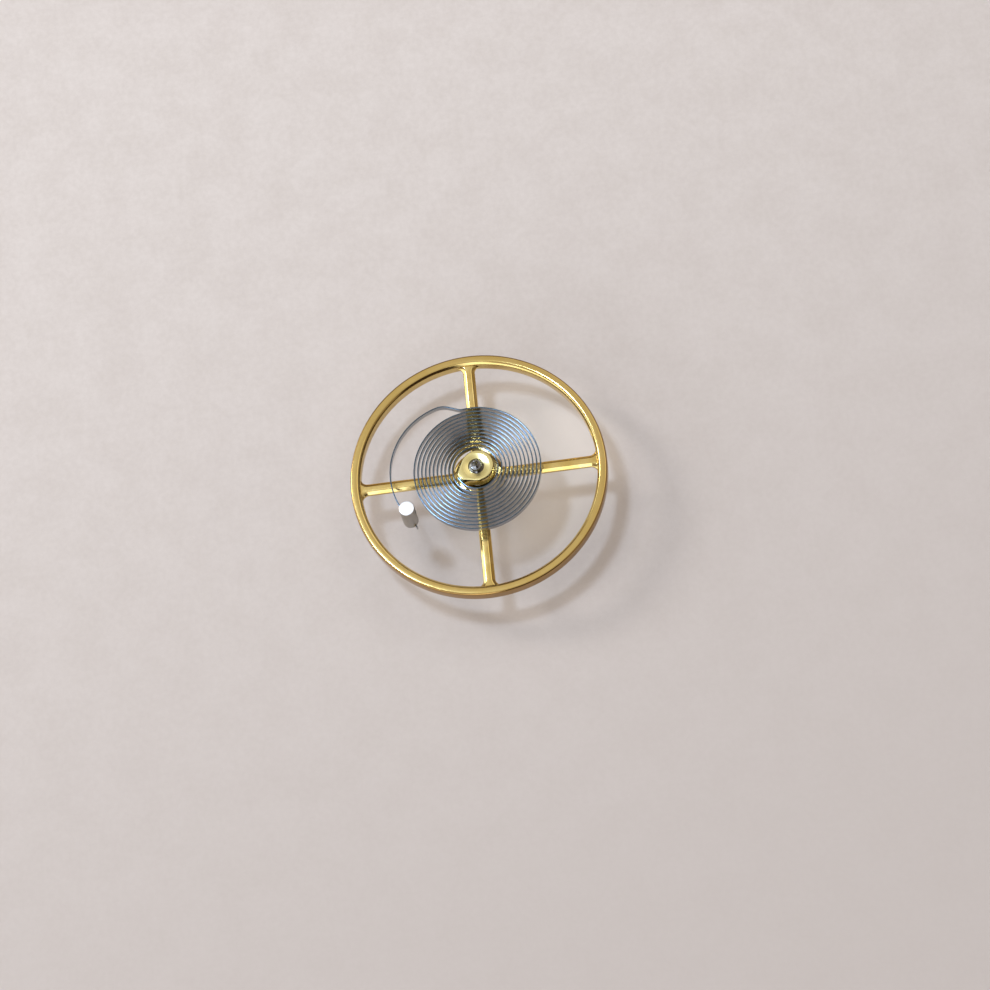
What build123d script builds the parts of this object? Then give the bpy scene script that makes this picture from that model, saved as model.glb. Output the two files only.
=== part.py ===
from build123d import *
from math import acos, asin, cos, degrees, hypot, radians, sin, sqrt
import os

# The balance of a small mechanical watch, taken out of the movement with everything that is fixed
# to it: wheel, staff, roller, impulse jewel, collet, hairspring and stud.
# Millimetres. Z is the staff's axis and points to the hairspring's side. The origin is the tip of
# the lower pivot. X runs along one arm of the wheel and Y along the next.

# Heights along the staff
staff_length = 3.40
wheel_middle = 1.85
collet_bottom = wheel_middle + 0.49
collet_top = wheel_middle + 1.04
strip_top = wheel_middle + 0.81
stud_bottom = wheel_middle + 0.54
stud_top = wheel_middle + 1.96

# Wheel: a plain rim, four arms and a hub in one piece
wheel_radius = 5.00
rim_width = 0.39
rim_height = 0.50
rim_inner_bevel = 0.10
rim_outer_bevel = 0.04
arm_count = 4
arm_width = 0.46
arm_top = wheel_middle + 0.12
arm_thickness = 0.20
arm_bevel_width = 0.13
arm_bevel_depth = 0.09
root_radius_at_rim = 0.25
root_radius_at_hub = 0.15
hub_radius = 1.00
hub_boss_radius = 0.66
hub_boss_height = 0.05
wheel_bore_radius = 0.40
poising_pit_radius = 0.10
poising_pit_depth = 0.07
poising_pit_angles = (38.0, 131.0, 142.0)

# Balance staff, turned from one steel rod
pivot_radius = 0.05
pivot_length = 0.20
pivot_round = 0.02
flare_radius = 0.16
lower_shaft_radius = 0.24
roller_seat_bottom = 0.58
flange_bottom = 1.42
flange_radius = 0.62
collet_seat_radius = 0.29
rivet_radius = 0.47
rivet_height = 0.05
head_radius = 0.23
head_bottom = collet_top - 0.02
head_top = collet_top + 0.10

# Double roller: the table with the impulse jewel above, the small safety roller below
table_radius = 0.95
table_bottom = 1.02
table_thickness = 0.17
roller_hub_radius = 0.37
safety_radius = 0.47
safety_bottom = 0.62
safety_thickness = 0.16
crescent_radius = 0.20
roller_bevel = 0.02
impulse_angle = -90.0

# Impulse jewel, a ruby pin with one flat
jewel_radius = 0.15
jewel_flat = 0.05
jewel_distance = 0.72
jewel_bottom = 0.66
jewel_stand_out = 0.03
shellac_radius = 0.21
shellac_height = 0.14

# Collet: an oblong bush with one narrow lobe, which carries the inner end of the hairspring
collet_round_radius = 0.62
collet_round_shift = 0.055
collet_lobe_radius = 0.24
collet_lobe_distance = 0.56
collet_lobe_angle = 208.0
collet_bevel = 0.035
weld_angle = 214.0
weld_distance = 0.79

# Hairspring: a flat strip wound anticlockwise from the collet, seen from above
strip_thickness = 0.045
strip_height = 0.26
coil_pitch = 0.150
half_turns = 22
last_half_turn = 152.9
weld_run_before = 0.17
weld_run_after = 0.06
knee_bend_out = 28.5
knee_bend_out_radius = 0.30
knee_run = 0.40
knee_bend_back = 38.5
knee_bend_back_radius = 0.80
terminal_radius = 2.785
terminal_sweep = 106.5
stud_run_before = 0.31
stud_run_after = 0.42

# Stud: a steel peg, split at its lower end for the strip, which is set in cement
stud_radius = 0.30
stud_slot_width = 0.11
stud_slot_depth = 0.31
stud_top_bevel = 0.02
stud_bottom_bevel = 0.09
cement_bead = 0.02

FULL_TURN = 360.0


def unit(angle):
    """Unit vector in the XY plane at an angle in degrees."""
    return Vector(cos(radians(angle)), sin(radians(angle)))


def ring_profile(inner, outer, bottom, top, bevels):
    """Closed section of a turned ring. bevels: inner bottom, outer bottom, outer top, inner top."""
    inner_low, outer_low, outer_high, inner_high = bevels
    corners = [
        (inner + inner_low, bottom),
        (outer - outer_low, bottom),
        (outer, bottom + outer_low),
        (outer, top - outer_high),
        (outer - outer_high, top),
        (inner + inner_high, top),
        (inner, top - inner_high),
        (inner, bottom + inner_low),
    ]
    kept = [corner for n, corner in enumerate(corners) if corner != corners[n - 1]]
    return make_face(Polyline(*kept, close=True))


def turned(section):
    """Solid made by turning a section, radius along X and height along Y, about the staff's axis."""
    return revolve(Plane.XZ * section, Axis.Z, FULL_TURN)


def disc(radius, bottom, height):
    """Plain disc on the staff's axis."""
    return Pos(0, 0, bottom) * extrude(Circle(radius), height)


def arm_window():
    """Outline of one opening between two arms, with its rounded corners."""
    reach = wheel_radius - rim_width
    quadrant = Rectangle(reach * 2, reach * 2, align=(Align.MIN, Align.MIN))
    window = (Circle(reach) - Circle(hub_radius)) & (Pos(arm_width / 2, arm_width / 2) * quadrant)
    corners_outwards = window.vertices().sort_by_distance((0, 0))
    window = fillet(corners_outwards[2:], root_radius_at_rim)
    corners_outwards = window.vertices().sort_by_distance((0, 0))
    return fillet(corners_outwards[:2], root_radius_at_hub)


def balance_wheel():
    """Rim, arms and hub, one piece of gilt copper alloy."""
    bottom = wheel_middle - rim_height / 2
    top = wheel_middle + rim_height / 2
    bevels = (rim_outer_bevel, rim_outer_bevel, rim_outer_bevel, rim_inner_bevel)
    rim = turned(ring_profile(wheel_radius - rim_width, wheel_radius, bottom, top, bevels))

    web_bottom = arm_top - arm_thickness
    web = disc(wheel_radius - rim_width / 2, web_bottom, arm_thickness)
    window = Pos(0, 0, web_bottom) * extrude(arm_window(), arm_thickness)
    for n in range(arm_count):
        web -= Rot(0, 0, n * FULL_TURN / arm_count) * window
    reach = wheel_radius - rim_width / 2 - 0.01
    edges = [
        edge
        for edge in web.edges()
        if abs(edge.center().Z - arm_top) < 1e-4
        and all(hypot(v.X, v.Y) < reach for v in edge.vertices())
    ]
    top_face = web.faces().sort_by(Axis.Z)[-1]
    web = chamfer(edges, arm_bevel_width, arm_bevel_depth, reference=top_face)

    boss_bottom = arm_top - arm_bevel_depth
    boss = ring_profile(0, hub_boss_radius, boss_bottom, arm_top + hub_boss_height, (0, 0, 0.03, 0))
    wheel = rim + web + turned(boss)
    wheel -= disc(wheel_bore_radius, web_bottom - 1, rim_height + 2)
    for angle in poising_pit_angles:
        pit = Cone(0.01, poising_pit_radius, poising_pit_depth * 2)
        centre = unit(angle) * (wheel_radius - rim_width / 2)
        wheel -= Pos(centre.X, centre.Y, bottom) * Rot(180, 0, 0) * pit
    return wheel


def balance_staff():
    """Steel arbor: pivots, roller seat, flange, riveted wheel seat and collet seat."""
    rivet_bottom = arm_top + hub_boss_height
    upper_pivot = staff_length - pivot_length
    outline = [
        (0, 0),
        (pivot_radius - pivot_round, 0),
        (pivot_radius, pivot_round),
        (pivot_radius, pivot_length),
    ]
    lower = Polyline(*outline)
    lower_flare = RadiusArc((pivot_radius, pivot_length), (flare_radius, pivot_length + 0.18), 0.22)
    body = [
        (flare_radius, pivot_length + 0.18),
        (lower_shaft_radius - 0.03, pivot_length + 0.22),
        (lower_shaft_radius, roller_seat_bottom - 0.10),
        (lower_shaft_radius, flange_bottom),
        (flange_radius - 0.04, flange_bottom),
        (flange_radius, flange_bottom + 0.04),
        (flange_radius, arm_top - arm_thickness),
        (wheel_bore_radius, arm_top - arm_thickness),
        (wheel_bore_radius, rivet_bottom),
        (rivet_radius, rivet_bottom),
        (rivet_radius - 0.04, rivet_bottom + rivet_height),
        (collet_seat_radius + 0.04, rivet_bottom + rivet_height),
        (collet_seat_radius, rivet_bottom + rivet_height + 0.03),
        (collet_seat_radius, head_bottom - 0.04),
        (head_radius, head_bottom),
        (head_radius - 0.02, head_top - 0.02),
        (flare_radius, head_top),
    ]
    middle = Polyline(*body)
    upper_flare = RadiusArc((flare_radius, head_top), (pivot_radius, upper_pivot), 0.30)
    tip = [
        (pivot_radius, upper_pivot),
        (pivot_radius, staff_length - pivot_round),
        (pivot_radius - pivot_round, staff_length),
        (0, staff_length),
    ]
    upper = Polyline(*tip)
    axis_line = Line((0, staff_length), (0, 0))
    return turned(make_face([lower, lower_flare, middle, upper_flare, upper, axis_line]))


def double_roller():
    """Roller table, neck and safety roller in one turned piece, bored for the impulse jewel."""
    bore = lower_shaft_radius
    table_top = table_bottom + table_thickness
    safety_top = safety_bottom + safety_thickness
    even = (roller_bevel,) * 4
    table = turned(ring_profile(bore, table_radius, table_bottom, table_top, even))
    neck = turned(ring_profile(bore, roller_hub_radius, safety_bottom + 0.05, table_top + 0.10, even))
    safety = turned(ring_profile(bore, safety_radius, safety_bottom, safety_top, even))
    roller = table + neck + safety
    place = unit(impulse_angle) * jewel_distance
    roller -= Pos(place.X, place.Y, 0) * jewel_pin(table_bottom - 0.1, table_top + 0.1)
    crescent = unit(impulse_angle) * (safety_radius + crescent_radius * 0.45)
    roller -= Pos(crescent.X, crescent.Y, 0) * disc(crescent_radius, safety_bottom - 0.1, safety_thickness + 0.2)
    return roller


def jewel_pin(bottom, top):
    """The jewel's shape about its own axis: a round pin with a flat turned away from the staff."""
    section = Circle(jewel_radius)
    cut = Rectangle(1, 1, align=(Align.MIN, Align.CENTER))
    section -= Rot(0, 0, impulse_angle) * Pos(jewel_flat, 0) * cut
    return Pos(0, 0, bottom) * extrude(section, top - bottom)


def impulse_jewel():
    """Ruby pin, set through the roller table and hanging down to the pallet fork."""
    place = unit(impulse_angle) * jewel_distance
    top = table_bottom + table_thickness + jewel_stand_out
    return Pos(place.X, place.Y, 0) * jewel_pin(jewel_bottom, top)


def jewel_shellac():
    """Bead of shellac over the jewel's end on the roller table."""
    table_top = table_bottom + table_thickness
    dome_radius = (shellac_radius**2 + shellac_height**2) / (2 * shellac_height)
    dome = Pos(0, 0, table_top + shellac_height - dome_radius) * Sphere(dome_radius)
    dome &= disc(shellac_radius * 2, table_top, shellac_height * 2)
    dome -= jewel_pin(jewel_bottom, table_top + jewel_stand_out)
    place = unit(impulse_angle) * jewel_distance
    return Pos(place.X, place.Y, 0) * dome


def collet_outline(inset):
    """Oblong outline with a flat on its lobe, drawn in by inset all round."""
    lobe = unit(collet_lobe_angle) * collet_lobe_distance
    body = unit(collet_lobe_angle + 180) * collet_round_shift
    span = collet_lobe_distance + collet_round_shift
    lean = degrees(asin((collet_round_radius - collet_lobe_radius) / span))
    left = collet_lobe_angle - 90 + lean
    right = collet_lobe_angle + 90 - lean
    wide = collet_round_radius - inset
    narrow = collet_lobe_radius - inset
    flat_depth = weld_distance - strip_thickness / 2 - inset - lobe.dot(unit(weld_angle))
    half_flat = degrees(acos(flat_depth / narrow))
    wide_end = CenterArc(body, wide, right, FULL_TURN + left - right)
    lobe_before = CenterArc(lobe, narrow, left, weld_angle - half_flat - left)
    lobe_after = CenterArc(lobe, narrow, weld_angle + half_flat, right - weld_angle - half_flat)
    edges = [
        wide_end,
        Line(wide_end @ 1, lobe_before @ 0),
        lobe_before,
        Line(lobe_before @ 1, lobe_after @ 0),
        lobe_after,
        Line(lobe_after @ 1, wide_end @ 0),
    ]
    return make_face(edges)


def collet():
    """Oblong bush pressed on the staff, which carries the inner end of the hairspring."""
    shoulder = collet_top - collet_bevel
    body = Pos(0, 0, collet_bottom) * extrude(collet_outline(0), shoulder - collet_bottom)
    bevel = loft([Pos(0, 0, shoulder) * collet_outline(0), Pos(0, 0, collet_top) * collet_outline(collet_bevel)])
    return body + bevel - disc(collet_seat_radius, collet_bottom - 1, 4)


class StripPath:
    """Middle line of the strip: straight runs and arcs, each tangent to the one before."""

    def __init__(self, start, heading):
        self.point = start
        self.heading = heading
        self.edges = []
        self.radii = []

    def run(self, length):
        end = self.point + unit(self.heading) * length
        self.edges.append(Line(self.point, end))
        self.point = end

    def bend(self, radius, sweep):
        """Turn by sweep degrees on an arc, anticlockwise when sweep is positive."""
        side = 90 if sweep > 0 else -90
        centre = self.point + unit(self.heading + side) * radius
        first = self.heading - side
        self.edges.append(CenterArc(centre, radius, first, sweep))
        self.point = centre + unit(first + sweep) * radius
        self.heading += sweep
        self.radii.append(radius)


def hairspring_path():
    """From the weld on the collet, round the coil and its knee, to the tail beyond the stud."""
    weld = unit(weld_angle) * weld_distance
    across = unit(weld_angle + 90)
    path = StripPath(weld - across * weld_run_before, weld_angle + 90)
    path.run(weld_run_before + weld_run_after)
    first_radius = weld_distance + coil_pitch / 4
    path.bend(first_radius - weld_run_after, 90)
    radius = first_radius + coil_pitch / 4
    for _ in range(half_turns):
        path.bend(radius, 180)
        radius += coil_pitch / 2
    path.bend(radius, last_half_turn)
    path.bend(knee_bend_out_radius, -knee_bend_out)
    path.run(knee_run)
    path.bend(knee_bend_back_radius, knee_bend_back)
    path.bend(terminal_radius, terminal_sweep)
    path.stud_centre = path.point + unit(path.heading) * stud_run_before
    path.stud_heading = path.heading
    path.run(stud_run_before + stud_run_after)
    return path


def hairspring(path):
    """The strip swept along its path, one unbroken solid."""
    start = unit(weld_angle) * weld_distance - unit(weld_angle + 90) * weld_run_before
    middle = strip_top - strip_height / 2
    along = Vector(unit(weld_angle + 90).X, unit(weld_angle + 90).Y, 0)
    plane = Plane(origin=(start.X, start.Y, middle), x_dir=(0, 0, 1), z_dir=along)
    section = plane * Rectangle(strip_height, strip_thickness)
    return sweep(section, Pos(0, 0, middle) * Wire(path.edges))


def stud_frame(path):
    """Placement with X along the strip where it crosses the stud."""
    return Pos(path.stud_centre.X, path.stud_centre.Y, 0) * Rot(0, 0, path.stud_heading)


def hairspring_stud(path):
    """Steel peg with a slot across its lower end."""
    peg = disc(stud_radius, stud_bottom, stud_top - stud_bottom)
    peg = chamfer(peg.edges().filter_by(GeomType.CIRCLE).group_by(Axis.Z)[-1], stud_top_bevel)
    peg = chamfer(peg.edges().filter_by(GeomType.CIRCLE).group_by(Axis.Z)[0], stud_bottom_bevel)
    slot = Box(2, stud_slot_width, stud_slot_depth, align=(Align.CENTER, Align.CENTER, Align.MIN))
    return stud_frame(path) * (peg - Pos(0, 0, stud_bottom) * slot)


def stud_cement(path):
    """Cement that fills the slot round the strip and stands a little proud at both ends."""
    low = (Align.CENTER, Align.CENTER, Align.MIN)
    length = 2 * (sqrt(stud_radius**2 - (stud_slot_width / 2) ** 2) + cement_bead)
    fill = Pos(0, 0, stud_bottom) * Box(length, stud_slot_width, stud_slot_depth, align=low)
    room = Pos(0, 0, strip_top - strip_height) * Box(2, strip_thickness, strip_height, align=low)
    return stud_frame(path) * (fill - room)


def report(name, solid):
    """Write one sub-part and print its size."""
    export_step(solid, f"parts/{name}.step")
    size = solid.bounding_box().size
    print(f"{name}: volume {solid.volume:.4f} mm3, {size.X:.2f} x {size.Y:.2f} x {size.Z:.2f} mm")


def least_gap(path, step=4.0):
    """Least distance between neighbouring turns, face to face, measured on points of the path."""
    coil = path.edges[1 : half_turns + 3]
    points = []
    for edge in coil:
        count = max(2, int(degrees(edge.length / edge.radius) / step))
        points += [edge @ (n / count) for n in range(count)]
    near = min(
        (points[i] - points[j]).length
        for i in range(len(points))
        for j in range(i + int(180 / step), len(points))
    )
    return near - strip_thickness


os.makedirs("parts", exist_ok=True)
path = hairspring_path()
spring = hairspring(path)
path_length = sum(edge.length for edge in path.edges)
turns = (90 + 180 * half_turns + last_half_turn) / FULL_TURN
print(f"strip length {path_length:.1f} mm, turns in the coil {turns:.2f}")
print(f"bend radii {min(path.radii):.2f} to {max(path.radii):.2f} mm")
print(f"least gap between turns {least_gap(path):.3f} mm")
print(f"volume over section times length {spring.volume / (path_length * strip_thickness * strip_height):.4f}")

report("balance_wheel", balance_wheel())
report("balance_staff", balance_staff())
report("double_roller", double_roller())
report("impulse_jewel", impulse_jewel())
report("jewel_shellac", jewel_shellac())
report("collet", collet())
report("hairspring", spring)
report("hairspring_stud", hairspring_stud(path))
report("stud_cement", stud_cement(path))
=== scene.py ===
from math import acos, asin, ceil, cos, degrees, pi, radians, sin, sqrt, tan

import bmesh
import bpy
from mathutils import Matrix, Vector, noise
from mathutils.geometry import tessellate_polygon


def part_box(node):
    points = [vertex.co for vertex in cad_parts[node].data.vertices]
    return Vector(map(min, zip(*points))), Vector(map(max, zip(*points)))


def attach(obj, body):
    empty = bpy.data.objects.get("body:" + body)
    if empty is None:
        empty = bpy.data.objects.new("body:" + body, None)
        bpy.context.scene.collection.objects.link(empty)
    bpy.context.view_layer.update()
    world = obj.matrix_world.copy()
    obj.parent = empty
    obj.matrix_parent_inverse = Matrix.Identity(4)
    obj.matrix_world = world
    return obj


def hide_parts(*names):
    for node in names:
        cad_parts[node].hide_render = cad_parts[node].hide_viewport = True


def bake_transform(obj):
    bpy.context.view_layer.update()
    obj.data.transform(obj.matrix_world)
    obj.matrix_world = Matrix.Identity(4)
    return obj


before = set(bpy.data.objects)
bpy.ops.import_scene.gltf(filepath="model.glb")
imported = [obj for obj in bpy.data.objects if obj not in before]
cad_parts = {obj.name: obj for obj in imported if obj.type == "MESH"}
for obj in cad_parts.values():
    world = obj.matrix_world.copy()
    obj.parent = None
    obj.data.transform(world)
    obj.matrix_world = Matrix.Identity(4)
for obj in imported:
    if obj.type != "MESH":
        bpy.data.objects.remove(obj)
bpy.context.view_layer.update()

# The balance of a small mechanical watch: wheel, staff, double roller with its jewel, collet,
# hairspring and stud. Shapes are drawn in millimetres, in the model's own frame: Z is the staff's
# axis and points to the hairspring's side, the origin is the lower pivot's tip, and the wheel's
# arms run along X and Y. Angles are in degrees, anticlockwise from X.

MM = 0.001


def box_mm(node):
    """Lowest and highest corner of a CAD node, in millimetres."""
    low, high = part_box(node)
    return low / MM, high / MM


wheel_low, wheel_high = box_mm("balance_wheel")
staff_low, staff_high = box_mm("balance_staff")
roller_low, roller_high = box_mm("double_roller")
jewel_low, jewel_high = box_mm("impulse_jewel")
bead_low, bead_high = box_mm("jewel_shellac")
collet_low, collet_high = box_mm("collet")
strip_low, strip_high = box_mm("hairspring")
stud_low, stud_high = box_mm("hairspring_stud")

# Wheel
wheel_radius = wheel_high.x
wheel_middle = (wheel_low.z + wheel_high.z) / 2
rim_inside = wheel_radius - 0.39
rim_middle = (rim_inside + wheel_radius) / 2
rim_bevel = 0.10
arm_half_width = 0.23
arm_top = wheel_middle + 0.12
arm_bottom = arm_top - 0.20
arm_bevel_width = 0.13
arm_bevel_depth = 0.09
root_radius_at_rim = 0.25
root_radius_at_hub = 0.15
hub_radius = 1.00
cone_radius = 0.855
cone_top = arm_top + 0.03
boss_radius = 0.66
boss_top = arm_top + 0.05
wheel_bore = 0.40
pit_radius = 0.10
pit_depth = 0.07
pit_angles = (38, 131, 142)

# Staff
pivot_radius = 0.05
pivot_end_round = 0.02
pivot_root_round = 0.15
flare_radius = 0.16
shaft_radius = 0.24
flange_radius = 0.62
flange_bottom = 1.42
rivet_radius = 0.47
rivet_top = boss_top + 0.05
collet_seat = 0.29
head_radius = 0.23
head_top = collet_high.z + 0.10

# Double roller and its jewel
table_radius = roller_high.x
table_bottom = 1.02
table_top = 1.19
neck_radius = 0.37
safety_radius = 0.47
safety_top = roller_low.z + 0.16
crescent_radius = 0.20
crescent_depth = 0.11
jewel_radius = 0.15
jewel_flat = 0.05
jewel_distance = 0.72

# Collet: the radii of its two ends, and the angle and distance of their centres from the axis
collet_round = 0.62
collet_round_place = (28, 0.055)
collet_lobe = 0.24
collet_lobe_place = (208, 0.56)
collet_dish = 0.52
weld_angle = 214
weld_distance = 0.79

# Hairspring, in the order of its runs and bends from the collet outwards. A bend is a radius and
# the angle that it turns through.
strip_thickness = 0.045
strip_height = strip_high.z - strip_low.z
edge_crown = 12
coil_pitch = 0.150
weld_run_before = 0.17
weld_run_after = 0.06
half_turns = 22
last_half_turn = 152.9
knee_out = (0.30, -28.5)
knee_run = 0.40
knee_back = (0.80, 38.5)
terminal_curve = (2.785, 106.5)
stud_run = 0.73

# Stud
stud_radius = (stud_high.x - stud_low.x) / 2
stud_centre = (stud_low + stud_high) / 2
stud_bevel = 0.09
slot_width = 0.11
slot_depth = 0.31
cement_bead = 0.02

# Edges that meet at less than this angle are shaded as one smooth surface
crease = radians(31)


def unit(angle):
    """Unit vector in the XY plane at an angle in degrees."""
    return Vector((cos(radians(angle)), sin(radians(angle))))


def arc(centre, radius, first, last, steps):
    """Points along an arc between two angles."""
    angles = [first + (last - first) * n / steps for n in range(steps + 1)]
    return [Vector(centre) + unit(angle) * radius for angle in angles]


def circle(radius, steps):
    """Points round a circle about the staff's axis."""
    return arc((0, 0), radius, 0, 360, steps)[:-1]


def rounded(corners, step=radians(12)):
    """Outline through corners (x, y, radius), with each corner turned into an arc of its radius."""
    outline = []
    for n, (x, y, radius) in enumerate(corners):
        corner = Vector((x, y))
        if radius == 0:
            outline.append(corner)
            continue
        back = (Vector(corners[n - 1][:2]) - corner).normalized()
        on = (Vector(corners[(n + 1) % len(corners)][:2]) - corner).normalized()
        half = back.angle(on) / 2
        centre = corner + (back + on).normalized() * radius / sin(half)
        first = corner + back * radius / tan(half) - centre
        sweep = (pi - 2 * half) * (1 if back.cross(on) < 0 else -1)
        steps = max(1, ceil(abs(sweep) / step))
        turns = [Matrix.Rotation(sweep * k / steps, 2) for k in range(steps + 1)]
        outline += [centre + turn @ first for turn in turns]
    return outline


def loop(shape, outline, height):
    """Ring of vertices along an outline at one height."""
    return [shape.verts.new((p[0], p[1], height)) for p in outline]


def skin(shape, rings, closed=False):
    """Faces between neighbouring rings, and between the last and the first if closed. A ring of one
    vertex is a pole."""
    pairs = list(zip(rings, rings[1:]))
    if closed:
        pairs.append((rings[-1], rings[0]))
    for one, two in pairs:
        for n in range(max(len(one), len(two))):
            m = n + 1
            corners = [one[n % len(one)], one[m % len(one)]]
            corners += [two[m % len(two)], two[n % len(two)]]
            shape.faces.new(list(dict.fromkeys(corners)))


def cap(shape, *loops):
    """Flat faces inside the first ring and outside the others."""
    corners = [v for ring in loops for v in ring]
    for triangle in tessellate_polygon([[v.co for v in ring] for ring in loops]):
        shape.faces.new([corners[n] for n in triangle])


def turned(section, closed=True, segments=240, centre=(0, 0)):
    """Solid of revolution. section holds (radius, height), and an open one ends on the axis."""
    shape = bmesh.new()
    rings = []
    for radius, height in section:
        count = 1 if radius < 1e-6 else segments
        points = [Vector(centre) + unit(360 * n / count) * radius for n in range(count)]
        rings.append(loop(shape, points, height))
    skin(shape, rings, closed)
    return shape


def prism(outlines):
    """Solid with flat ends through outlines (points, height) that have equally many points."""
    shape = bmesh.new()
    rings = [loop(shape, points, height) for points, height in outlines]
    skin(shape, rings)
    cap(shape, rings[0])
    cap(shape, rings[-1])
    return shape


def combined(one, two, operation):
    """Two closed shapes joined, or the first less the second."""
    holders = []
    for shape in (one, two):
        bmesh.ops.recalc_face_normals(shape, faces=shape.faces)
        mesh = bpy.data.meshes.new("blank")
        shape.to_mesh(mesh)
        holder = bpy.data.objects.new("blank", mesh)
        bpy.context.scene.collection.objects.link(holder)
        holders.append(holder)
    cutter = holders[0].modifiers.new("cutter", "BOOLEAN")
    cutter.operation = operation
    cutter.solver = "EXACT"
    cutter.object = holders[1]
    result = bmesh.new()
    result.from_object(holders[0], bpy.context.evaluated_depsgraph_get())
    for holder in holders:
        bpy.data.objects.remove(holder)
    return result


def as_mesh(name, shape, finish):
    """Blender mesh of a shape, in metres, smooth but for its sharp edges."""
    bmesh.ops.recalc_face_normals(shape, faces=shape.faces)
    bmesh.ops.scale(shape, vec=(MM, MM, MM), verts=shape.verts)
    mesh = bpy.data.meshes.new(name)
    shape.to_mesh(mesh)
    shape.free()
    mesh.polygons.foreach_set("use_smooth", [True] * len(mesh.polygons))
    mesh.set_sharp_from_angle(angle=crease)
    mesh.materials.append(finish)
    return mesh


def add_piece(name, shape, finish, body, node):
    """Object of a shape, riding on a CAD body in place of a CAD node."""
    piece = bpy.data.objects.new(name, as_mesh(name, shape, finish))
    bpy.context.scene.collection.objects.link(piece)
    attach(piece, body)
    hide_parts(node)
    return piece


def linear(red, green, blue):
    """Colour as written in a picture, 0 to 255, for a colour socket."""
    parts = [v / 255 for v in (red, green, blue)]
    return tuple(v / 12.92 if v < 0.04045 else ((v + 0.055) / 1.055) ** 2.4 for v in parts) + (1.0,)


class Field:
    """A number that varies over a surface. Arithmetic on it adds Math nodes."""

    def __init__(self, finish, socket):
        self.finish = finish
        self.socket = socket

    def math(self, operation, *values):
        return self.finish.node("Math", {"operation": operation}, dict(enumerate(values)))

    def __add__(self, other):
        return self.math("ADD", self, other)

    def __radd__(self, other):
        return self.math("ADD", other, self)

    def __sub__(self, other):
        return self.math("SUBTRACT", self, other)

    def __rsub__(self, other):
        return self.math("SUBTRACT", other, self)

    def __mul__(self, other):
        return self.math("MULTIPLY", self, other)

    def __rmul__(self, other):
        return self.math("MULTIPLY", other, self)

    def __pow__(self, other):
        return self.math("POWER", self, other)

    def __abs__(self):
        return self.math("ABSOLUTE", self)

    def least(self, other):
        return self.math("MINIMUM", self, other)

    def most(self, other):
        return self.math("MAXIMUM", self, other)

    def rise(self, low, high):
        """0 below low, 1 above high, smooth between them."""
        sockets = {"Value": self, "From Min": low, "From Max": high}
        return self.finish.node("MapRange", {"interpolation_type": "SMOOTHSTEP"}, sockets)


class Finish:
    """Nodes of a material or of the world."""

    def __init__(self, name, owner=None):
        self.owner = owner or bpy.data.materials.new(name)
        self.owner.use_nodes = True
        self.tree = self.owner.node_tree
        self.surface = self.tree.nodes.get("Principled BSDF") or self.tree.nodes.get("Background")

    def fill(self, socket, value):
        """Link a field to a socket, or write a constant in it."""
        if isinstance(value, Field):
            self.tree.links.new(value.socket, socket)
        else:
            socket.default_value = value

    def node(self, kind, settings, sockets, out=0):
        """Add a node, set it up, fill its sockets and give one of its outputs."""
        made = self.tree.nodes.new("ShaderNode" + kind)
        for key, value in settings.items():
            setattr(made, key, value)
        for key, value in sockets.items():
            self.fill(made.inputs[key], value)
        return Field(self, made.outputs[out])

    def shade(self, **sockets):
        """Fill the surface shader's own sockets, with spaces written as underscores."""
        for key, value in sockets.items():
            self.fill(self.surface.inputs[key.replace("_", " ")], value)
        return self.owner

    def place(self):
        """X, Y and Z on the piece, in millimetres."""
        spot = self.node("TexCoord", {}, {}, "Object")
        spot = self.node("VectorMath", {"operation": "SCALE"}, {0: spot, "Scale": 1 / MM})
        return [self.node("SeparateXYZ", {}, {0: spot}, axis) for axis in "XYZ"]

    def grain(self, x, y, z, detail=3.0, roughness=0.55):
        """Noise from 0 to 1 at a place given by three numbers or fields."""
        spot = self.node("CombineXYZ", {}, {0: x, 1: y, 2: z})
        sockets = {"Vector": spot, "Scale": 1.0, "Detail": detail, "Roughness": roughness}
        return self.node("TexNoise", {}, sockets)

    def mix(self, share, one, two):
        """Colour between two colours."""
        return self.node("Mix", {"data_type": "RGBA"}, {0: share, 6: one, 7: two}, 2)

    def bump(self, height, depth_mm, strength=1.0):
        """Normal of a surface with a height from 0 to 1 times a depth."""
        sockets = {"Strength": strength, "Distance": depth_mm * MM, "Height": height}
        return self.node("Bump", {}, sockets)


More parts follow.
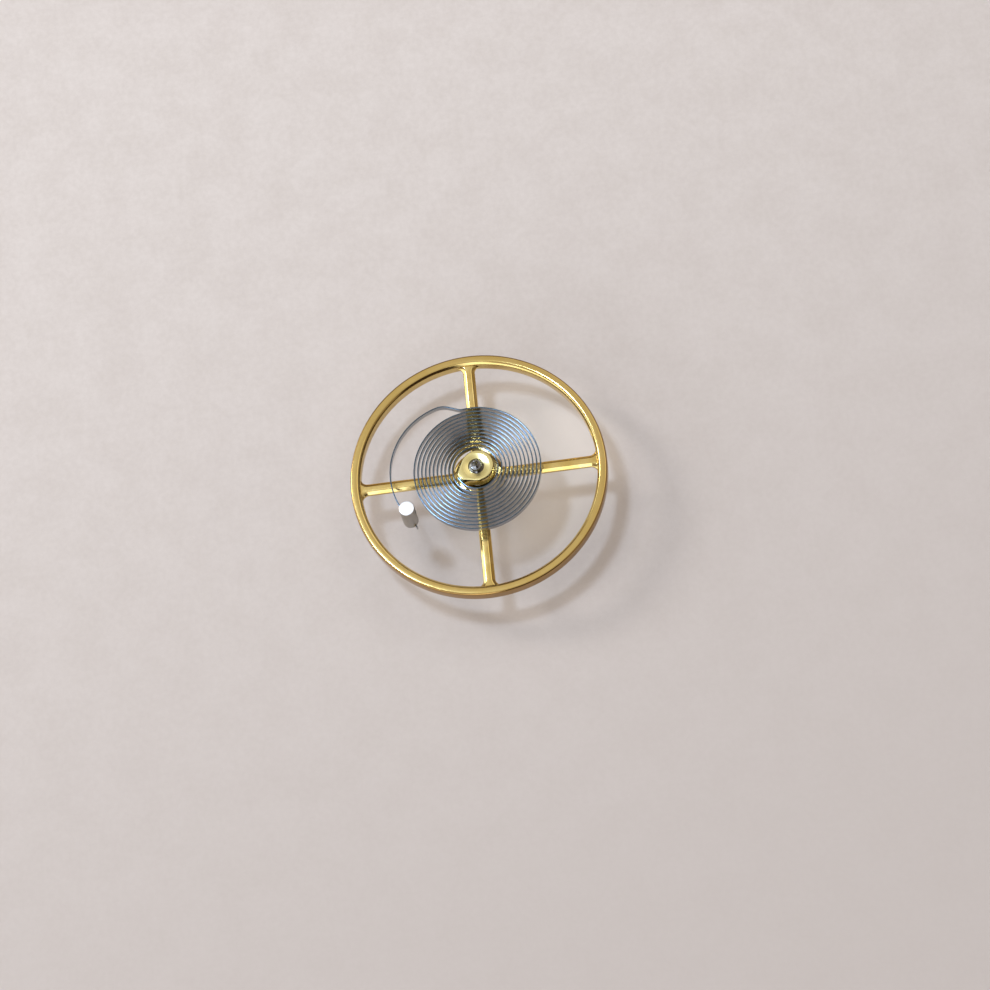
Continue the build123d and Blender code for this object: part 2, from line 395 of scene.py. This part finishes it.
def gilt():
    """Gilt copper alloy: turned lines round the rim, lengthwise grain on the arms, uneven tone, and
    an outer wall painted browner, as a painted darker reflection of the shaded paper under it."""
    finish = Finish("gilt")
    x, y, z = finish.place()
    radius = (x * x + y * y) ** 0.5
    on_rim = radius.rise(rim_inside - 0.06, rim_inside)
    near_hub = 1 - radius.rise(0.9, 1.5)
    across = abs(x).least(abs(y))
    along = abs(x).most(abs(y))
    lines = finish.grain(radius * 34, z * 34, (x + y) * 0.6, 2.0)
    grain = finish.grain(across * 40, along * 3, z * 30, 2.0)
    marks = on_rim * lines + (1 - on_rim) * grain
    cloud = finish.grain(x * 1.6, y * 1.6, z * 3, 4.0)
    speck = finish.grain(x * 9, y * 9, z * 9, 3.0, 0.7)
    # Painted shade: the outer wall is painted browner, for the darker reflection of the shaded
    # paper under it.
    painted_dark_wall = radius.rise(wheel_radius - 0.08, wheel_radius - 0.03)
    tone = finish.mix(cloud.rise(0.35, 0.65), linear(233, 208, 139), linear(220, 191, 114))
    tone = finish.mix(marks.rise(0.45, 0.75) * 0.35, tone, linear(206, 170, 98))
    tone = finish.mix(speck.rise(0.62, 0.78) * 0.25, tone, linear(190, 142, 84))
    tone = finish.mix(on_rim * 0.7, tone, linear(208, 179, 110))
    tone = finish.mix(painted_dark_wall * 0.7, tone, linear(142, 99, 53))
    roughness = 0.09 + 0.06 * marks + 0.06 * speck - 0.02 * near_hub
    normal = finish.bump(marks + 0.5 * speck, 0.0012, 0.45)
    return finish.shade(Base_Color=tone, Metallic=1.0, Roughness=roughness, Normal=normal)


def turned_metal(name, bright, dull, rough, lines_per_mm, centre=(0, 0), side=None, top=0):
    """Metal with the fine circular marks that a lathe leaves about an upright axis. Below its top
    it can have a side of another colour, which on the stud is painted shade."""
    finish = Finish(name)
    x, y, z = finish.place()
    x = x - centre[0]
    y = y - centre[1]
    radius = (x * x + y * y) ** 0.5
    lines = finish.grain(radius * lines_per_mm, z * lines_per_mm, (x + y) * 0.8, 2.0)
    cloud = finish.grain(x * 4, y * 4, z * 4, 3.0)
    tone = finish.mix(lines.rise(0.3, 0.7) * 0.6 + cloud * 0.4, bright, dull)
    if side:
        # Painted shade: below its top the side can be painted darker.
        tone = finish.mix(z.rise(top - 0.03, top - 0.01), side, tone)
    normal = finish.bump(lines, 0.0006, 0.6)
    roughness = rough + 0.12 * (lines - 0.5) + 0.10 * (cloud - 0.5)
    return finish.shade(Base_Color=tone, Metallic=1.0, Roughness=roughness, Normal=normal)


def spring_steel():
    """Blue-grey rolled strip: lines along its length, a tint that wanders from turn to turn, and a
    smoother upper edge, painted darker and bluer as painted shade along the strip's tops."""
    finish = Finish("spring_steel")
    x, y, z = finish.place()
    length = finish.node("Attribute", {"attribute_name": "strip_length"}, {}, "Fac")
    lines = finish.grain(length * 1.5, z * 60, 0.0, 2.0)
    cloud = finish.grain(length * 0.35, z * 2, 4.0, 3.0)
    tone = finish.mix(cloud.rise(0.3, 0.7), linear(153, 156, 163), linear(167, 167, 169))
    tone = finish.mix(lines.rise(0.5, 0.8) * 0.4, tone, linear(136, 136, 140))
    # Painted shade: the upper edge is painted darker and bluer than the sides; only its smoothness
    # is real.
    edge = z.rise(strip_high.z - 0.010, strip_high.z - 0.004)
    tone = finish.mix(edge, tone, linear(78, 98, 114))
    roughness = 0.20 + 0.08 * lines - 0.08 * edge
    normal = finish.bump(lines, 0.0004, 0.5)
    return finish.shade(Base_Color=tone, Metallic=1.0, Roughness=roughness, Normal=normal)


def ruby():
    """Synthetic ruby, clear red with faint curved growth lines."""
    finish = Finish("ruby")
    x, y, z = finish.place()
    lines = finish.grain(x * 6, (y + z * z * 0.4) * 24, z * 6, 2.0)
    tone = finish.mix(lines.rise(0.3, 0.7), linear(196, 22, 48), linear(160, 10, 34))
    roughness = 0.05 + 0.05 * lines
    return finish.shade(Base_Color=tone, Roughness=roughness, IOR=1.76, Transmission_Weight=0.55)


def shellac():
    """Shellac melted round the jewel: brown, glossy, with small bubbles under its skin."""
    finish = Finish("shellac")
    x, y, z = finish.place()
    bubbles = finish.grain(x * 22, y * 22, z * 22, 2.0)
    cloud = finish.grain(x * 7, y * 7, z * 7, 3.0)
    tone = finish.mix(cloud.rise(0.3, 0.7), linear(156, 88, 30), linear(96, 46, 14))
    tone = finish.mix(bubbles.rise(0.62, 0.7) * 0.5, tone, linear(206, 150, 80))
    roughness = 0.14 + 0.2 * cloud
    normal = finish.bump(cloud + 0.3 * bubbles, 0.006, 0.5)
    return finish.shade(Base_Color=tone, Roughness=roughness, Coat_Weight=0.6, Normal=normal)


def cement():
    """Set cement: honey-coloured, a little cloudy."""
    finish = Finish("cement")
    x, y, z = finish.place()
    cloud = finish.grain(x * 12, y * 12, z * 12, 3.0)
    speck = finish.grain(x * 50, y * 50, z * 50, 2.0)
    tone = finish.mix(cloud.rise(0.3, 0.7), linear(205, 188, 150), linear(172, 146, 100))
    roughness = 0.25 + 0.3 * speck
    normal = finish.bump(cloud + 0.4 * speck, 0.006, 0.5)
    return finish.shade(Base_Color=tone, Roughness=roughness, Coat_Weight=0.3, Normal=normal)


def paper():
    """Pale smooth paper under the balance, with a faint cloudy formation. It is painted a little
    darker towards the south and east, as painted shade where the light falls off, and painted
    paler under the wheel, as a painted pool of the light that the rim throws."""
    finish = Finish("paper")
    x, y, z = finish.place()
    cloud = finish.grain(x * 0.6, y * 0.6, 0.0, 5.0, 0.65)
    fibre = finish.grain(x * 4, y * 4, 0.0, 4.0, 0.7)
    # Painted shade: the sheet is painted darker towards the south and east, where the light falls
    # off.
    across = (0.35 * x - y).rise(-26, 26)
    patches = (cloud.rise(0.3, 0.7) + fibre.rise(0.3, 0.7)) * 0.5
    tone = finish.mix(patches, linear(219, 209, 202), linear(208, 197, 189))
    tone = finish.mix(across * 0.8, tone, linear(197, 186, 179))
    # Painted pool of light: the sheet is painted paler round a spot under the wheel, where the rim
    # throws light.
    east = x - 1.6
    north = y - 0.9
    painted_rim_light = 1 - (east * east + north * north).rise(3, 20)
    tone = finish.mix(painted_rim_light * 0.8, tone, linear(244, 233, 222))
    normal = finish.bump(fibre, 0.02, 0.3)
    return finish.shade(Base_Color=tone, Roughness=0.85, Specular_IOR_Level=0.2, Normal=normal)


def window_outline(grow):
    """Outline of the opening between two arms, with its edge moved by grow into the metal."""
    across = arm_half_width + root_radius_at_rim
    outer = Vector((sqrt((rim_inside - root_radius_at_rim) ** 2 - across**2), across))
    across = arm_half_width + root_radius_at_hub
    inner = Vector((sqrt((hub_radius + root_radius_at_hub) ** 2 - across**2), across))
    outer_angle = degrees(Vector((1, 0)).angle(outer))
    inner_angle = degrees(Vector((1, 0)).angle(inner))
    at_rim = root_radius_at_rim + grow
    at_hub = root_radius_at_hub + grow
    outline = arc(outer, at_rim, -90, outer_angle, 12)
    outline += arc((0, 0), rim_inside + grow, outer_angle, 90 - outer_angle, 60)[1:]
    outline += arc(outer.yx, at_rim, 90 - outer_angle, 180, 12)[1:]
    outline += arc(inner.yx, at_hub, 180, 270 - inner_angle, 10)
    outline += arc((0, 0), hub_radius - grow, 90 - inner_angle, inner_angle, 24)[1:]
    outline += arc(inner, at_hub, 180 + inner_angle, 270, 10)[1:]
    return outline


def spider():
    """Arms and hub: one web with four windows, softened edges and a low boss round the bore. It
    reaches into the rim, half way through."""
    shape = bmesh.new()
    deep = arm_half_width - 0.01
    edge = [
        (deep, arm_bottom, 0),
        (0, arm_bottom, 0.02),
        (0, arm_top - arm_bevel_depth, 0.05),
        (arm_bevel_width, arm_top, 0.08),
        (deep, arm_top, 0),
    ]
    edge = rounded(edge)[1:-1]
    low = []
    high = []
    for quarter in range(4):
        turn = Matrix.Rotation(radians(90 * quarter), 2)
        rings = []
        for grow, height in edge:
            rings.append(loop(shape, [turn @ p for p in window_outline(grow)], height))
        skin(shape, rings)
        low.append(rings[0])
        high.append(rings[-1])
    outside = [loop(shape, circle(rim_middle, 240), height) for height in (arm_bottom, arm_top)]
    skin(shape, outside)
    hub = [
        (hub_radius, arm_top, 0),
        (cone_radius + 0.013, arm_top, 0),
        (cone_radius, arm_top, 0),
        (boss_radius, cone_top, 0.008),
        (boss_radius, boss_top, 0.012),
        (wheel_bore, boss_top, 0.01),
        (wheel_bore, arm_bottom, 0.01),
        (boss_radius, arm_bottom, 0),
    ]
    rings = [loop(shape, circle(radius, 120), height) for radius, height in rounded(hub)[1:-1]]
    skin(shape, rings)
    cap(shape, outside[1], *high, rings[0])
    cap(shape, outside[0], *low, rings[-1])
    return shape


def balance_wheel():
    """Rim, arms and hub in one piece, with the small poising pits under the rim."""
    rim = [
        (rim_inside, wheel_low.z, 0.03),
        (wheel_radius, wheel_low.z, 0.05),
        (wheel_radius, wheel_high.z, 0.08),
        (rim_inside + rim_bevel, wheel_high.z, 0.12),
        (rim_inside, wheel_high.z - rim_bevel, 0.06),
    ]
    wheel = combined(turned(rounded(rim), segments=480), spider(), "UNION")
    tip = wheel_low.z + pit_depth
    drill = [(pit_radius * 1.3, wheel_low.z - pit_depth * 0.3), (0.012, tip), (0, tip + 0.004)]
    pits = bmesh.new()
    for angle in pit_angles:
        centre = unit(angle) * rim_middle
        rings = []
        for radius, height in drill:
            count = 32 if radius else 1
            points = [centre + unit(360 * n / count) * radius for n in range(count)]
            rings.append(loop(pits, points, height))
        skin(pits, rings)
        cap(pits, rings[0])
    return combined(wheel, pits, "DIFFERENCE")


def balance_staff():
    """Turned steel arbor, from the lower pivot's tip to the upper one's."""
    tip = staff_low.z
    top = staff_high.z
    section = [
        (0, tip, 0),
        (pivot_radius, tip, pivot_end_round),
        (pivot_radius, tip + 0.29, pivot_root_round),
        (flare_radius, tip + 0.38, 0.01),
        (shaft_radius - 0.03, tip + 0.42, 0.01),
        (shaft_radius, tip + 0.48, 0.01),
        (shaft_radius, flange_bottom, 0.02),
        (flange_radius, flange_bottom, 0.03),
        (flange_radius, arm_bottom, 0.02),
        (wheel_bore, arm_bottom, 0),
        (wheel_bore, boss_top, 0),
        (rivet_radius, boss_top, 0),
        (rivet_radius - 0.04, rivet_top, 0.02),
        (collet_seat + 0.04, rivet_top, 0.015),
        (collet_seat, rivet_top + 0.03, 0.015),
        (collet_seat, collet_high.z - 0.06, 0.01),
        (head_radius, collet_high.z - 0.02, 0.01),
        (head_radius - 0.02, head_top, 0.03),
        (flare_radius, head_top, 0.01),
        (pivot_radius, top - 0.30, pivot_root_round),
        (pivot_radius, top, pivot_end_round),
        (0, top, 0),
    ]
    return turned(rounded(section), closed=False, segments=160)


def jewel_outline(inset):
    """Round pin with a flat on the side away from the staff, drawn in by inset."""
    centre = Vector((0, -jewel_distance))
    radius = jewel_radius - inset
    half_flat = degrees(acos((jewel_flat - inset) / radius))
    outline = arc(centre, radius, -90 + half_flat, 270 - half_flat, 48)
    return outline + [outline[-1].lerp(outline[0], n / 6) for n in range(1, 6)]


def impulse_jewel():
    """Ruby pin with polished edges."""
    edge_round = 0.018
    tilts = [n * pi / 8 for n in range(5)]
    steps = [(edge_round * (1 - sin(tilt)), edge_round * (1 - cos(tilt))) for tilt in tilts]
    outlines = [(jewel_outline(inset), jewel_low.z + rise) for inset, rise in steps]
    outlines += [(jewel_outline(inset), jewel_high.z - rise) for inset, rise in reversed(steps)]
    return prism(outlines)


def double_roller():
    """Roller table, neck and safety roller, with the passing crescent and the jewel's hole."""
    section = [
        (shaft_radius, roller_low.z, 0.01),
        (safety_radius, roller_low.z, 0.025),
        (safety_radius, safety_top, 0.025),
        (neck_radius, safety_top, 0.01),
        (neck_radius, table_bottom, 0.03),
        (table_radius, table_bottom, 0.03),
        (table_radius, table_top, 0.03),
        (neck_radius, table_top, 0.02),
        (neck_radius, roller_high.z, 0.02),
        (shaft_radius, roller_high.z, 0.01),
    ]
    roller = turned(rounded(section))
    centre = Vector((0, crescent_depth - crescent_radius - safety_radius))
    notch = arc(centre, crescent_radius, 0, 360, 96)[:-1]
    hole = jewel_outline(0)
    cuts = [(notch, roller_low.z, safety_top), (hole, table_bottom, table_top)]
    for outline, low, high in cuts:
        cutter = prism([(outline, low - 0.1), (outline, high + 0.1)])
        roller = combined(roller, cutter, "DIFFERENCE")
    return roller


def jewel_shellac():
    """Bead melted over the jewel's end: a low dome, drawn in a little here and there."""
    radius = (bead_high.x - bead_low.x) / 2
    height = bead_high.z - bead_low.z
    curve = (radius**2 + height**2) / (2 * height)
    lean = asin(radius / curve)
    section = [(0, bead_low.z)]
    for n in range(13):
        tilt = lean * (1 - n / 12)
        section.append((curve * sin(tilt), bead_high.z - curve + curve * cos(tilt)))
    shape = turned(section, closed=False, segments=72, centre=(0, -jewel_distance))
    for vertex in shape.verts:
        outwards = Vector((vertex.co.x, vertex.co.y + jewel_distance, 0))
        vertex.co -= outwards * 0.10 * (0.5 + 0.5 * noise.noise(outwards * 9))
        if vertex.co.z > bead_low.z + 0.02:
            vertex.co.z -= 0.012 * (0.5 + 0.5 * noise.noise(vertex.co * 14))
    return shape


def collet_outline(inset):
    """Oblong with a wide round end and a narrow lobe, which has a flat for the strip."""
    angle, distance = collet_lobe_place
    lobe = unit(angle) * distance
    round_angle, shift = collet_round_place
    body = unit(round_angle) * shift
    lean = degrees(asin((collet_round - collet_lobe) / (distance + shift)))
    left = angle - 90 + lean
    right = angle + 90 - lean
    narrow = collet_lobe - inset
    flat_depth = weld_distance - strip_thickness / 2 - inset - lobe.dot(unit(weld_angle))
    half_flat = degrees(acos(flat_depth / narrow))
    outline = arc(body, collet_round - inset, right, 360 + left, 90)
    outline += arc(lobe, narrow, left, weld_angle - half_flat, 24)
    return outline + arc(lobe, narrow, weld_angle + half_flat, right, 24)


def collet():
    """Oblong bush with softened edges, dished round its bore."""
    shape = bmesh.new()
    deep = collet_lobe
    edge = [
        (deep, collet_low.z, 0),
        (0, collet_low.z, 0.015),
        (0, collet_high.z, 0.035),
        (deep, collet_high.z, 0),
    ]
    edge = rounded(edge)[1:-1]
    outside = [loop(shape, collet_outline(inset), height) for inset, height in edge]
    bore = [
        (collet_round, collet_low.z, 0),
        (collet_seat, collet_low.z, 0.012),
        (collet_seat, collet_high.z - 0.06, 0.008),
        (collet_seat + 0.025, collet_high.z - 0.032, 0.008),
        (collet_dish, collet_high.z, 0.10),
        (collet_round, collet_high.z, 0),
    ]
    inside = [loop(shape, circle(radius, 96), height) for radius, height in rounded(bore)[1:-1]]
    skin(shape, outside)
    skin(shape, inside)
    cap(shape, outside[0], inside[0])
    cap(shape, outside[-1], inside[-1])
    return shape


class StripPath:
    """Middle line of the strip as stations: place, heading and length from the inner end."""

    def __init__(self, start, heading):
        self.stations = [(start, heading, 0.0)]

    def run(self, length, steps=4):
        place, heading, done = self.stations[-1]
        for n in range(1, steps + 1):
            part = length * n / steps
            self.stations.append((place + unit(heading) * part, heading, done + part))

    def bend(self, radius, sweep, step=2.0):
        """Turn by sweep degrees on an arc, anticlockwise when sweep is positive."""
        place, heading, done = self.stations[-1]
        side = 90 if sweep > 0 else -90
        centre = place + unit(heading + side) * radius
        steps = ceil(abs(sweep) / step)
        for n in range(1, steps + 1):
            turn = sweep * n / steps
            spot = centre + unit(heading - side + turn) * radius
            self.stations.append((spot, heading + turn, done + radius * radians(abs(turn))))


def hairspring_path():
    """From the weld on the collet, round the coil and its knee, to the tail beyond the stud."""
    along = weld_angle + 90
    start = unit(weld_angle) * weld_distance - unit(along) * weld_run_before
    path = StripPath(start, along)
    path.run(weld_run_before + weld_run_after)
    radius = weld_distance + coil_pitch / 4
    path.bend(radius - weld_run_after, 90)
    radius += coil_pitch / 4
    for _ in range(half_turns):
        path.bend(radius, 180)
        radius += coil_pitch / 2
    path.bend(radius, last_half_turn)
    path.bend(*knee_out)
    path.run(knee_run)
    path.bend(*knee_back)
    path.bend(*terminal_curve)
    path.run(stud_run, 8)
    return path


def strip_section():
    """Rolled strip across its length, (outwards, upwards): flat sides and slightly crowned edges,
    which lean by edge_crown at their two sides."""
    wide = strip_thickness / 2
    tall = strip_height / 2
    crown = wide * 0.9 / sin(radians(edge_crown))
    tilts = [radians(edge_crown * n / 3) for n in range(3, -4, -1)]
    edge = [(crown * sin(tilt), tall - crown * (1 - cos(tilt))) for tilt in tilts]
    shoulder = edge[0][1] - 0.003
    upper = [(wide, shoulder), *edge, (-wide, shoulder)]
    return upper + [(-across, -up) for across, up in upper]


def hairspring(path, finish):
    """The strip drawn straight, with its length stored on its points, and then wound into place."""
    section = strip_section()
    middle = (strip_low.z + strip_high.z) / 2
    total = path.stations[-1][2]
    shape = bmesh.new()
    rings = []
    for _, _, length in path.stations:
        rings.append([shape.verts.new((length, across, up)) for across, up in section])
    skin(shape, rings)
    for ring in (rings[0], rings[-1]):
        shape.faces.new(ring)
    mesh = as_mesh("wound_spring", shape, finish)
    spring = bpy.data.objects.new("wound_spring", mesh)
    bpy.context.scene.collection.objects.link(spring)
    total * MM
    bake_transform(spring)
    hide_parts("hairspring")
    lengths = mesh.attributes.new("strip_length", "FLOAT", "POINT")
    lengths.data.foreach_set("value", [v.co.x / MM for v in mesh.vertices])
    for n, vertex in enumerate(mesh.vertices):
        spot, heading, _ = path.stations[n // len(section)]
        across, up = section[n % len(section)]
        wound = spot - unit(heading + 90) * across
        vertex.co = Vector((wound.x, wound.y, middle + up)) * MM
    mesh.update()
    return spring


def at_stud(outline):
    """Points drawn about the stud's axis with X along the strip, put in place."""
    turn = Matrix.Rotation(radians(stud_heading), 2)
    return [turn @ Vector(p) + stud_centre.xy for p in outline]


def rectangle(length, width):
    """Outline of a rectangle about its own middle."""
    x = length / 2
    y = width / 2
    return [(-x, -y), (x, -y), (x, y), (-x, y)]


def hairspring_stud():
    """Round steel peg with softened ends and a saw cut across its lower end."""
    section = [
        (0, stud_low.z, 0),
        (stud_radius - stud_bevel, stud_low.z, 0.02),
        (stud_radius, stud_low.z + stud_bevel, 0.03),
        (stud_radius, stud_high.z, 0.03),
        (0, stud_high.z, 0),
    ]
    peg = turned(rounded(section), closed=False, segments=144, centre=stud_centre.xy)
    cut = at_stud(rectangle(1.0, slot_width))
    slot = prism([(cut, stud_low.z - 0.1), (cut, stud_low.z + slot_depth)])
    return combined(peg, slot, "DIFFERENCE")


def stud_cement():
    """Cement round the strip in the saw cut: it stands a little proud at both ends, which are
    rounded off, and its surface is uneven."""
    half = sqrt(stud_radius**2 - (slot_width / 2) ** 2) + cement_bead
    low = stud_low.z + 0.01
    high = stud_low.z + slot_depth
    count = 40
    shape = bmesh.new()
    rings = []
    for n in range(count + 1):
        along = -half + 2 * half * n / count
        swell = 0.35 + 0.65 * sqrt(max(0.0, 1 - (abs(along) / half) ** 12))
        tall = (high - low) / 2 * swell
        wide = slot_width / 2 * swell
        corner = min(tall, wide) * 0.7
        corners = [(x, y, corner) for x, y in rectangle(2 * wide, 2 * tall)]
        ring = []
        for across, up in rounded(corners, radians(31)):
            spot = Vector((along, across, up))
            spot.yz *= 1 - 0.12 * (0.5 + 0.5 * noise.noise(spot * 16))
            place = at_stud([spot.xy])[0]
            ring.append(shape.verts.new((place.x, place.y, (low + high) / 2 + spot.z)))
        rings.append(ring)
    skin(shape, rings)
    for ring in (rings[0], rings[-1]):
        shape.faces.new(ring)
    room = at_stud(rectangle(1.0, strip_thickness))
    return combined(shape, prism([(room, strip_low.z), (room, strip_high.z)]), "DIFFERENCE")


# The photograph's view: the camera's place and the place of the wheel's middle in the picture
picture_size = 990
picture_scale = 25.86
view_elevation = 67.4
view_azimuth = 10.4
view_roll = 17.0
wheel_in_picture = (479.1, 475.8)
camera_distance = 160.0
sensor_width = 36.0

lamp_distance = 200.0
sheet_side = 4000.0


def add_camera():
    """Camera at the photograph's viewing angle, with the wheel where the photograph has it."""
    azimuth = radians(view_azimuth)
    rise = radians(view_elevation)
    roll = radians(view_roll)
    back = Vector((sin(azimuth) * cos(rise), -cos(azimuth) * cos(rise), sin(rise)))
    right = Vector((cos(azimuth), sin(azimuth), 0))
    up = back.cross(right)
    level = right * cos(roll) - up * sin(roll)
    upright = right * sin(roll) + up * cos(roll)
    half = picture_size / 2
    aside = (half - wheel_in_picture[0]) / picture_scale
    above = (wheel_in_picture[1] - half) / picture_scale
    aim = Vector((0, 0, wheel_middle)) + level * aside + upright * above
    camera = bpy.data.cameras.new("camera")
    camera.sensor_width = sensor_width
    camera.lens = sensor_width * camera_distance * picture_scale / picture_size
    camera.clip_start = 0.01
    holder = bpy.data.objects.new("camera", camera)
    place = (aim + back * camera_distance) * MM
    turn = Matrix((level, upright, back)).transposed().to_4x4()
    holder.matrix_world = Matrix.Translation(place) @ turn
    bpy.context.scene.collection.objects.link(holder)
    bpy.context.scene.camera = holder


def heading(azimuth, elevation):
    """Unit vector towards an azimuth, anticlockwise from X, and an elevation, in degrees."""
    return Vector((*(unit(azimuth) * cos(radians(elevation))), sin(radians(elevation))))


def add_lamp(name, azimuth, elevation, width, height, level, tint=(1, 1, 1)):
    """Rectangular lamp that faces the wheel. level is the brightness of its face, on about the
    scale of the room's colours."""
    lamp = bpy.data.lights.new(name, "AREA")
    lamp.shape = "RECTANGLE"
    lamp.size = width * MM
    lamp.size_y = height * MM
    lamp.energy = 4 * level * lamp.size * lamp.size_y
    lamp.color = tint
    holder = bpy.data.objects.new(name, lamp)
    out = heading(azimuth, elevation)
    place = (Vector((0, 0, wheel_middle)) + out * lamp_distance) * MM
    turn = out.to_track_quat("Z", "Y").to_matrix().to_4x4()
    holder.matrix_world = Matrix.Translation(place) @ turn
    holder.visible_camera = False
    bpy.context.scene.collection.objects.link(holder)


def light_room():
    """Room round the paper, which the polished metal shows: brown walls under a pale ceiling, with
    the patches that the photograph's reflections ask for."""
    world = bpy.data.worlds.new("room")
    bpy.context.scene.world = world
    room = Finish("room", world)
    look = room.node("TexCoord", {}, {}, "Generated")
    x, y, z = [room.node("SeparateXYZ", {}, {0: look}, axis) for axis in "XYZ"]
    level = (x * x + y * y + 0.0001) ** 0.5

    def between(low, high, soft):
        """1 between two elevations, fading over soft degrees at each."""
        above = z.rise(sin(radians(low - soft)), sin(radians(low + soft)))
        return above - z.rise(sin(radians(high - soft)), sin(radians(high + soft)))

    def towards(azimuth, half_width, soft):
        """1 within half_width degrees of an azimuth."""
        side = unit(azimuth)
        ahead = (x * side.x + y * side.y) * level**-1
        return ahead.rise(cos(radians(half_width + soft)), cos(radians(half_width - soft)))

    def about(azimuth, elevation, inner, outer):
        """1 within inner degrees of a direction, 0 beyond outer degrees."""
        sockets = {0: look, 1: heading(azimuth, elevation)}
        near = room.node("VectorMath", {"operation": "DOT_PRODUCT"}, sockets, "Value")
        return near.rise(cos(radians(outer)), cos(radians(inner)))

    ceiling = z.rise(sin(radians(36)), sin(radians(50)))
    tone = room.mix(ceiling, (0.21, 0.155, 0.12, 1), (0.64, 0.605, 0.56, 1))
    patches = [
        # Ceiling: a bright spot in the north-east, and the even part that the flat tops show
        (about(55, 53, 10, 24), (1.4, 1.36, 1.3, 1)),
        (about(100, 67, 10, 20), (0.69, 0.64, 0.575, 1)),
        # South: a bright panel for the arms' southern edges
        (between(30, 56, 4) * towards(262, 12, 4), (2.1, 2.2, 2.4, 1)),
        # East: a lighter wall, and beside it a black one for the streak on the rim's inner edge
        (between(0, 30, 4) * towards(-10, 35, 5), (0.42, 0.34, 0.26, 1)),
        (between(0, 46, 3) * towards(-66, 23, 3), (0.04, 0.022, 0.015, 1)),
        # West, round to the south: a row of windows for the arms' western edges
        (between(6, 30, 3) * towards(200, 70, 5), (2.1, 2.25, 2.45, 1)),
        # The table's far edge all round
        (between(-9, 4, 3), (0.55, 0.51, 0.49, 1)),
    ]
    for share, patch in patches:
        tone = room.mix(share, tone, patch)
    room.shade(Color=tone, Strength=1.0)


def add_floor():
    """Level sheet of paper that the lower pivot's tip touches."""
    corners = [(x * MM, y * MM, 0) for x, y in rectangle(sheet_side, sheet_side)]
    mesh = bpy.data.meshes.new("paper_sheet")
    mesh.from_pydata(corners, [], [(0, 1, 2, 3)])
    mesh.materials.append(paper())
    floor = bpy.data.objects.new("paper_sheet", mesh)
    bpy.context.scene.collection.objects.link(floor)


add_camera()
light_room()
key_tint = (0.74, 0.93, 1.2)
add_lamp("key", azimuth=142, elevation=70, width=26, height=26, level=40, tint=key_tint)
add_lamp("window", azimuth=152, elevation=33, width=44, height=44, level=13.5)
add_floor()
bpy.context.scene.view_settings.view_transform = "Standard"

staff_tones = (linear(150, 150, 150), linear(112, 112, 114))
staff_steel = turned_metal("polished_steel", *staff_tones, rough=0.16, lines_per_mm=30)
table_tones = (linear(198, 198, 202), linear(160, 161, 167))
table_steel = turned_metal("roller_steel", *table_tones, rough=0.26, lines_per_mm=40)
brass_tones = (linear(238, 225, 165), linear(220, 202, 132))
pale_brass = turned_metal("pale_brass", *brass_tones, rough=0.18, lines_per_mm=26)
stud_tones = (linear(236, 235, 234), linear(214, 213, 212))
# Painted shade: the stud's side is painted darker than its top.
stud_lines_and_shade = {"centre": stud_centre.xy, "side": linear(176, 173, 168), "top": stud_high.z}
stud_steel = turned_metal("stud_steel", *stud_tones, rough=0.40, lines_per_mm=40, **stud_lines_and_shade)

swinging = [
    ("gilt_wheel", balance_wheel(), gilt(), "balance_wheel", "gilt_alloy"),
    ("turned_staff", balance_staff(), staff_steel, "balance_staff", "polished_steel"),
    ("turned_roller", double_roller(), table_steel, "double_roller", "roller_steel"),
    ("ruby_pin", impulse_jewel(), ruby(), "impulse_jewel", "ruby"),
    ("shellac_bead", jewel_shellac(), shellac(), "jewel_shellac", "shellac"),
    ("lobed_collet", collet(), pale_brass, "collet", "collet_alloy"),
]
for name, shape, finish, node, slot in swinging:
    add_piece(name, shape, finish, "balance", node)

spring_path = hairspring_path()
stud_heading = spring_path.stations[-1][1]
hairspring(spring_path, spring_steel())
add_piece("split_stud", hairspring_stud(), stud_steel, "stud", "hairspring_stud")
add_piece("slot_cement", stud_cement(), cement(), "stud", "stud_cement")
